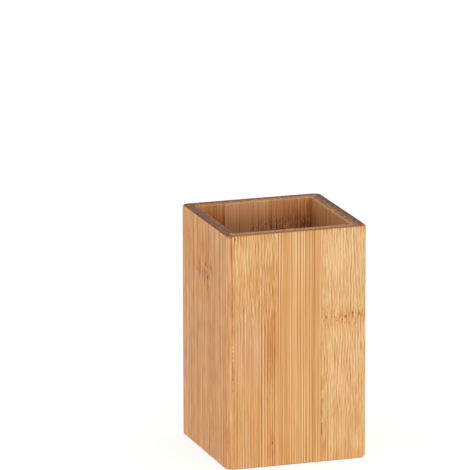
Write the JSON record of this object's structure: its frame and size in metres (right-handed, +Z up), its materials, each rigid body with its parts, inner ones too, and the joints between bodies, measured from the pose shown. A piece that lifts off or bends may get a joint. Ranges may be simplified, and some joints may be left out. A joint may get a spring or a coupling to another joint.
{
  "type": "toothbrush holder",
  "caption": "Square free-standing toothbrush cup of laminated bamboo boards with rebated corners and an inset base.",
  "frame": {"origin": "centre of the underside, on the surface that the cup stands on", "axes": "+Z up out of the mouth, -Y out of the front wall, +X to the right seen from the front"},
  "size_m": [0.066, 0.066, 0.1073],
  "materials": {
    "front_wall_bamboo": "sanded and oiled",
    "side_wall_bamboo": "sanded and oiled",
    "back_wall_bamboo": "sanded and oiled",
    "base_bamboo": "sanded"
  },
  "bodies": {
    "root": {"front_wall_butt_strip": "front_wall_bamboo", "front_wall_middle_strip": "front_wall_bamboo", "front_wall_lip_strip": "front_wall_bamboo", "right_wall_butt_strip": "side_wall_bamboo", "right_wall_middle_strip": "side_wall_bamboo", "right_wall_lip_strip": "side_wall_bamboo", "back_wall_butt_strip": "back_wall_bamboo", "back_wall_middle_strip": "back_wall_bamboo", "back_wall_lip_strip": "back_wall_bamboo", "left_wall_butt_strip": "side_wall_bamboo", "left_wall_middle_strip": "side_wall_bamboo", "left_wall_lip_strip": "side_wall_bamboo", "base_left_strip": "base_bamboo", "base_middle_strip": "base_bamboo", "base_right_strip": "base_bamboo"}
  },
  "joints": []
}
